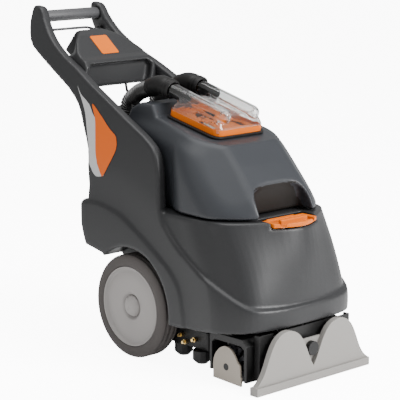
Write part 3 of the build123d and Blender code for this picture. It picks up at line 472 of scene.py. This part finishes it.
def make_body():
    """Lower body with both side frames, in one skin."""
    grid = Grid(180, (-384, 400), (82, 706), 3.0)
    half_out = half_width(grid.ax[2])
    lean = 1 / np.sqrt(1 + np.gradient(half_out, grid.ax[2]) ** 2)
    wide = (grid.x - half_out[None, None, :]) * lean[None, None, :]
    fender = grid.side(FENDER)
    wide = wide + FENDER_STEP * ramp(fender, -1.5, 4.5) * (1 - ramp(fender, 12, 95))
    nose = belly_nose(grid)

    panel = grid.side(REAR_EDGE + FRONT_EDGE + [(-420, 149), (-420, 60), (60, 60)])
    outer_side = np.where(grid.z < SEAM, np.maximum(nose - RIDGE, wide), wide)
    frame_solid = smax(panel, outer_side, 4.5)
    belly = smax(smax(nose, grid.z - SEAM, 4), grid.y - 30, 4)
    inner_room = smax(grid.x - (half_out - 22)[None, None, :], SEAM - grid.z, 6)
    plain_body = smin(smax(frame_solid, -inner_room, 8), belly, 4)

    arch = np.sqrt((grid.y - AXLE[0]) ** 2 + (grid.z - AXLE[1]) ** 2) - WHEEL_ARCH_R
    arch = np.maximum(arch, 113 - grid.x)
    hem = np.interp(grid.ax[1], [p[0] for p in HEM], [p[1] for p in HEM])[None, :, None]
    body = smax(smax(plain_body, -arch, 5), hem - grid.z, 4)
    hollow = np.maximum(np.maximum(plain_body + 6, 6 - arch), grid.z - SEAM + 6)
    hollow = np.where(grid.z < SEAM - 3, hollow, 30)
    port = np.maximum(np.sqrt((grid.x - TUBE_X) ** 2 + (grid.y - HOSE_Y) ** 2) - 18.5, 290 - grid.z)
    mouth = np.maximum(grid.plan([(-90, -420), (61, -420), (61, -281), (-90, -281)]), 300.5 - grid.z)
    funnel = grid.plan([(-90, -322), (30, -322), (46, -314), (54, -300), (54, -281), (-90, -281)])
    mouth = np.minimum(mouth, np.maximum(funnel, 292 - grid.z))
    for cut in (hollow, port, mouth, bar_along_x(grid, 361, 663, 13, 82)):
        body = np.maximum(body, -cut)
    return skin("body_skin", grid, body, "body_grey")


body_skin = make_body()
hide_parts("lower_body", "side_frame_left", "side_frame_right")
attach(body_skin, "machine")


# ---- console skin ------------------------------------------------------------------------------
WAIST = [(176, 124), (195, 106), (225, 88), (256, 69), (290, 37), (342, 36)]     # Y, half width
REAR_FACE = (317.5, 611)        # middle of the sloping rear face, with its unit normal below
REAR_NORMAL = (0.823, 0.568)


def make_console():
    grid = Grid(112, (176, 346), (512, 648), 2.5)
    half_in = half_width(grid.ax[2]) - 20
    hump = grid.side([(194, 526), (194, 570), (200, 580), (216, 586), (268, 626), (290, 636), (303, 632),
                      (332, 590), (212, 525)])
    waist = np.interp(grid.ax[1], [p[0] for p in WAIST], [p[1] for p in WAIST])
    slant = (grid.x - waist[None, :, None]) * 0.86 + (grid.z - 626) * 0.16
    shelf = grid.side([(194, 526), (194, 566), (226, 583), (262, 588), (262, 556), (212, 525)])
    console = smin(smax(hump, slant, 6), shelf, 14)
    console = smax(console, grid.x - half_in[None, None, :], 2)
    pocket = grid.front([(-90, 500), (70, 500), (84, 540), (87, 562), (78, 572), (-90, 572)])
    console = smax(console, -smax(pocket, grid.y - 206, 7), 4)
    console = np.maximum(console, -(console + 7))
    dy, dz = grid.y - REAR_FACE[0], grid.z - REAR_FACE[1]
    rear_up = dy * -REAR_NORMAL[1] + dz * REAR_NORMAL[0]
    rear_out = dy * REAR_NORMAL[0] + dz * REAR_NORMAL[1]
    switches = np.maximum(np.abs(grid.x - 17) - 14.6, np.abs(rear_up - 12) - 8)
    windows = np.minimum(switches, np.sqrt(grid.x ** 2 + (rear_up + 12.5) ** 2) - 9.5)
    console = np.maximum(console, -np.maximum(windows, -12 - rear_out))
    return skin("console_skin", grid, console, "body_grey")


console_skin = make_console()
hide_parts("console")
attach(console_skin, "machine")


# ---- recovery tank -----------------------------------------------------------------------------
TILT = math.radians(11.9)       # the tank's deck falls this much to the front
DECK = (-100, 470)
RECESS_TOP, RECESS_HALF = 381, 72.5


def deck_field(grid):
    """Height over the tank's sloping deck, and the distance up the slope from its middle."""
    dy, dz = grid.y - DECK[0], grid.z - DECK[1]
    return dz * math.cos(TILT) - dy * math.sin(TILT), dy * math.cos(TILT) + dz * math.sin(TILT)


def recess_depth(y, z):
    """Distance in front of the recess's leaning rear wall, negative behind it."""
    return y + 264 + 0.12 * (z - 345)


def make_tank():
    grid = Grid(156, (-326, 76), (309, 520), 2.5)
    side = grid.side([(66, 316), (68, 470), (58, 497), (34, 510), (-6, 510), (-22, 487), (-180, 453),
                      (-207, 447), (-240, 411), (-276, 368), (-300, 338), (-316, 316)])
    front = grid.front([(-20, 300)] + spline([(150, 300), (149, 345), (143, 395), (131, 433), (108, 458),
                                              (93, 478), (88, 500), (85, 530)]) + [(-20, 530)])
    plan = grid.plan([(-20, 90)] + spline([(100, 90), (107, 20), (112, -50), (118, -96), (134, -126),
                                           (145, -158), (148, -200), (142, -243), (124, -277), (92, -300),
                                           (50, -312), (0, -317), (-40, -313)]))
    corner = (grid.x - grid.y - 398 + 0.92 * (grid.z - 317)) / 1.69
    tank = smax(smax(smax(front, plan, 14), corner, 24), side, 7)
    recess = grid.front([(-40, 300), (72, 300), (72, 338), (69, 354), (60, 367), (45, 376), (25, 381),
                         (-40, 383)])
    tank = smax(tank, -smax(recess, recess_depth(grid.y, grid.z), 16), 5)
    up, along = deck_field(grid)
    well = np.maximum(np.maximum(grid.x - 52, np.abs(along) - 65), -up - 30)
    return skin("recovery_tank_skin", grid, np.maximum(tank, -well), "tank_grey")


def paint_recess_shade(tank):
    """Paints shade onto the walls of the grip recess, as a darker material where shade falls in the hollow.
    """
    # painted shade: a darker, duller grey laid on the recess walls in place of the shade that falls there
    MATS["recess"] = material("recess", (0.008, 0.0068, 0.006), 0.55, bump=0.2, mottle=0.1, specular=0.15)
    tank.data.materials.append(MATS["recess"])
    for face in tank.data.polygons:
        x, y, z = face.center / MM
        near_wall = -26 < recess_depth(y, z) < 14
        inside = z < RECESS_TOP and abs(x) < RECESS_HALF and near_wall
        sloping = z < 372 or abs(face.normal.y) < 0.75
        # painted shade mask: the wall faces deep enough in the recess to be shaded
        shaded_wall = y > -262 - 0.62 * (345 - z) or face.normal.y < -0.9
        if inside and sloping and shaded_wall:
            face.material_index = 1


tank_skin = make_tank()
paint_recess_shade(tank_skin)
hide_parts("recovery_tank")
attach(tank_skin, "recovery_tank")


# ---- clear dome --------------------------------------------------------------------------------
TUBE_R, DOME_WALL = 14.5, 2.4
TUBE_FRONT, TUBE_REAR = (-178.0, 496.0), (-18.0, 536.0)
TUBE_L = math.dist(TUBE_FRONT, TUBE_REAR)
TUBE_Y, TUBE_Z = ((b - a) / TUBE_L for a, b in zip(TUBE_FRONT, TUBE_REAR))


def make_dome():
    """A tapered cover with two air tubes, whose front ends are rounded."""
    grid = Grid(76, (-206, -8), (440, 556), 1.6)
    up, along = deck_field(grid)
    wedge = round_box(grid.x, 64.5, along, 73.5, 14)
    wedge = (wedge + 0.62 * np.maximum(up - 20, 0)) / 1.12
    wedge = smax(wedge, up - 43 - 0.06 * along, 7)
    dy, dz = grid.y - TUBE_FRONT[0], grid.z - TUBE_FRONT[1]
    behind = dy * TUBE_Y + dz * TUBE_Z
    off_axis = -dy * TUBE_Z + dz * TUBE_Y
    tubes = np.sqrt((grid.x - TUBE_X) ** 2 + off_axis ** 2 + np.maximum(12 - behind, 0) ** 2) - TUBE_R
    outer = smin(wedge, tubes, 4)
    dome = np.maximum(smax(outer, 6.2 - up, 1), -(outer + DOME_WALL))
    return skin("clear_dome_skin", grid, np.maximum(dome, behind - TUBE_L), "clear_plastic", relax=3)


dome_skin = make_dome()
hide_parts("clear_dome")
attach(dome_skin, "dome")


# ---- hoses and cuffs ---------------------------------------------------------------------------
HOSE_R, RIB_PITCH, RIB_DEPTH = 17.9, 5.6, 3.0
CUFF_R, CUFF_BORE, CUFF_RING = 18.4, 15.0, 2.2
PLAY = 0.3
CUFF_END = (50.0, 535.0)
HOSE_ROUTE = [(120, 500), (128, 462), (98, 408), (91.5, 360), (91, 312)]
MATS["hose_black"] = material("hose_black", (0.009, 0.0085, 0.0082), 0.3, bump=0.1, mottle=0.05,
                              specular=0.55)


def cuff_radius(s):
    """Two rings at the tube's end, a swelling elbow and a thin ring where the hose starts."""
    rings = CUFF_RING * (ramp(s, 1, 2) - ramp(s, 5, 6)) + CUFF_RING * (ramp(s, 8.5, 9.5) - ramp(s, 13, 14))
    elbow = 1.4 * ramp(s, 15, 24) - 0.5 * ramp(s, 50, 60)
    return CUFF_R + rings + elbow + 1.0 * (ramp(s, 63, 64) - ramp(s, 68, 69))


def hose_radius(s):
    return HOSE_R - RIB_DEPTH * (0.5 - 0.5 * np.cos(2 * math.pi * s / RIB_PITCH)) ** 0.8


for name, side in (("left", -1), ("right", 1)):
    x = side * TUBE_X
    start = (x, TUBE_REAR[0] + PLAY * TUBE_Y, TUBE_REAR[1] + PLAY * TUBE_Z)
    bend = (x, start[1] + 38 * TUBE_Y, start[2] + 38 * TUBE_Z)
    end = (x, *CUFF_END)
    cuff = tube(f"hose_cuff_{name}", rounded_path([start, bend, end], [60], 0.8), cuff_radius,
                "black_rubber", 48, bore=CUFF_BORE)
    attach(cuff, "recovery_tank")
    leave = (np.array(end) - np.array(bend)) / np.linalg.norm(np.array(end) - np.array(bend))
    begin = np.array(end) + leave * PLAY
    route = [tuple(begin), tuple(begin + leave * 38)] + [(x, *q) for q in HOSE_ROUTE]
    hose = tube(f"corrugated_hose_{name}", rounded_path(route, [70, 34, 60, 90, 200], 0.6), hose_radius,
                "hose_black", 40)
    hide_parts(f"hose_{name}")
    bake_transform(hose)
    if side < 0:
        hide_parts("hose_cuffs")


# ---- filler lid --------------------------------------------------------------------------------
LID_HINGE = (-284.5, 307)
LID_TOP, LID_BOTTOM, DISH_FLOOR = 310, 301.5, 303.6


def make_lid():
    """A plate with a dish and a grip bar in it, on a hinge barrel; a plug below fills the opening."""
    grid = Grid(62, (-354, -282), (294, 320), 0.9)
    lid = np.maximum(grid.plan(belly_plan(305)) - 1.5, grid.x - 59)
    lid = smax(np.maximum(lid, -grid.y - 352), grid.y + 289, 1.5)
    dish = round_box(grid.x, 47, grid.y + 317, 20, 7)
    plate = smax(smax(lid, grid.z - LID_TOP, 2), LID_BOTTOM - grid.z, 1.2)
    plate = smax(plate, -np.maximum(dish, DISH_FLOOR - grid.z), 2)
    grip = smax(round_box(grid.x, 37, grid.y + 320, 5, 4), np.abs(grid.z - 308) - 6.2, 2)
    plug = np.maximum(round_box(grid.x, 44, grid.y + 306, 10, 6), np.abs(grid.z - 300) - 3)
    barrel = bar_along_x(grid, *LID_HINGE, 2.4, 38)
    field = np.minimum(smin(plate, grip, 2), np.minimum(plug, barrel))
    return skin("fill_lid_skin", grid, field, "orange_plastic")


lid_skin = make_lid()
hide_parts("fill_lid")
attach(lid_skin, "filler_lid")


# ---- yellow top of the height knob -------------------------------------------------------------
KNOB = (-128, -284)
CAP_PROFILE = [(107.3, 0.01), (107.3, 6.5), (108.6, 6.5), (109.4, 5.4), (109.6, 0.01)]     # Z, radius
CAP_AROUND = 32
MATS["yellow"] = material("yellow", (0.55, 0.40, 0.01), 0.4, bump=0.05, mottle=0.03, specular=0.3)


def make_knob_cap():
    n = CAP_AROUND
    verts = [(KNOB[0] + r * math.cos(k * 2 * math.pi / n), KNOB[1] + r * math.sin(k * 2 * math.pi / n), z)
             for z, r in CAP_PROFILE for k in range(n)]
    faces = [(i * n + k, i * n + (k + 1) % n, i * n + n + (k + 1) % n, i * n + n + k)
             for i in range(len(CAP_PROFILE) - 1) for k in range(n)]
    return mesh_object("height_knob_cap", np.array(verts) * MM, faces, "yellow")


knob_cap = make_knob_cap()
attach(knob_cap, "height_knob")


# ---- wheels ------------------------------------------------------------------------------------
TYRE_X, TREAD_R, GROOVE_R = 140, 106.3, 104.6
HUB_PROFILE = [(147, 9), (152, 9), (152, 24), (156.4, 26.5), (157.2, 30), (157.6, 50), (156.6, 70),
               (155.6, 74.5), (156.4, 77), (160.2, 78.4), (161.8, 79.6), (162, 81.6), (121, 82), (121, 76),
               (147, 71), (147, 24), (121, 22), (121, 9)]


def tyre_profile():
    grooves = []
    for middle in (TYRE_X - 12.5, TYRE_X, TYRE_X + 12.5):
        grooves += [(middle - 2.2, TREAD_R), (middle - 1.4, GROOVE_R), (middle + 1.4, GROOVE_R),
                    (middle + 2.2, TREAD_R)]
    outside = [(162.3, 84), (162.6, 93)] + spline([(162.4, 97), (160.6, 102), (157.5, 105.2)], 3)
    inside = spline([(122.5, 105.2), (119.4, 102), (117.6, 97)], 3) + [(117.4, 93), (117.7, 84)]
    return [(121, 82.2)] + inside[::-1] + grooves + outside[::-1] + [(160, 82.2)]


for name, side in (("left", -1), ("right", 1)):
    tyre = revolve(f"tyre_{name}_skin", tyre_profile(), AXLE, "tyre_grey", side, 144)
    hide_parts(f"tyre_{name}")
    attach(tyre, f"wheel_{name}")
    hub = revolve(f"hub_{name}_skin", HUB_PROFILE, AXLE, "hub_grey", side, 96)
    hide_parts(f"hub_{name}")
    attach(hub, f"wheel_{name}")


# ---- decals ------------------------------------------------------------------------------------
DECAL_LOOKS = {"orange": dict(colour=(0.42, 0.07, 0.001), rough=0.4, mottle=0.02, bump=0.05, specular=0.2),
               "grey": dict(colour=(0.30, 0.30, 0.30), rough=0.4, mottle=0.02, bump=0.05, specular=0.3)}
CRESCENT = [(184, 532), (170, 518), (150, 507), (136, 498), (124, 484), (110, 470), (104, 448), (100, 425),
            (97, 400), (90, 380), (75, 366), (71, 362), (90, 358), (101, 362), (110, 372), (118, 384),
            (122, 410), (135, 450), (150, 487)]
SWOOSH = [(128, 502), (96, 482), (64, 459), (46, 449), (39, 441), (36, 425), (42, 408), (58, 382), (70, 364),
          (76, 361), (84, 372), (92, 386), (99, 405), (103, 428), (107, 450), (113, 474)]
FILM, FILM_CELL = 0.25, 4
for tone, look in DECAL_LOOKS.items():
    MATS["decal_" + tone] = material("decal_" + tone, **look)
bpy.context.view_layer.update()
body_tree = BVHTree.FromPolygons([v.co for v in body_skin.data.vertices],
                                 [tuple(p.vertices) for p in body_skin.data.polygons])


def flat_patch(outline):
    """A flat patch in the YZ plane inside a smooth closed outline, cut into small cells."""
    edge = spline(outline, 5, closed=True)
    patch = bmesh.new()
    patch.faces.new([patch.verts.new((0, y * MM, z * MM)) for y, z in edge])
    for axis in (1, 2):
        values = [q[axis - 1] for q in edge]
        normal = [0, 0, 0]
        normal[axis] = 1
        for k in np.arange(min(values) + FILM_CELL, max(values), FILM_CELL):
            place = [0, 0, 0]
            place[axis] = k * MM
            bmesh.ops.bisect_plane(patch, geom=patch.verts[:] + patch.edges[:] + patch.faces[:],
                                   plane_co=place, plane_no=normal)
    bmesh.ops.triangulate(patch, faces=patch.faces[:])
    return patch


def decal(name, outline, tone, side, lift):
    """A thin film laid on the side panel, lifted a little off it."""
    patch = flat_patch(outline)
    for v in patch.verts:
        hit = body_tree.ray_cast(Vector((side * 0.4, v.co.y, v.co.z)), Vector((-side, 0, 0)))
        v.co.x = hit[0].x + side * lift * MM if hit[0] else side * 0.1
    bmesh.ops.recalc_face_normals(patch, faces=patch.faces[:])
    data = bpy.data.meshes.new(name)
    patch.to_mesh(data)
    patch.free()
    o = bpy.data.objects.new(name, data)
    bpy.context.collection.objects.link(o)
    data.materials.append(MATS["decal_" + tone])
    film = o.modifiers.new("film", "SOLIDIFY")
    film.thickness = FILM * MM
    film.offset = 0
    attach(o, "machine")


for name, side in (("left", -1), ("right", 1)):
    decal(f"side_decal_grey_{name}", CRESCENT, "grey", side, 0.35)
    decal(f"side_decal_orange_{name}", SWOOSH, "orange", side, 0.7)


# ---- edges of the carried-over CAD nodes -------------------------------------------------------
for name, o in nodes.items():
    if name != "brush_bristles" and not o.hide_render:
        soften(o)
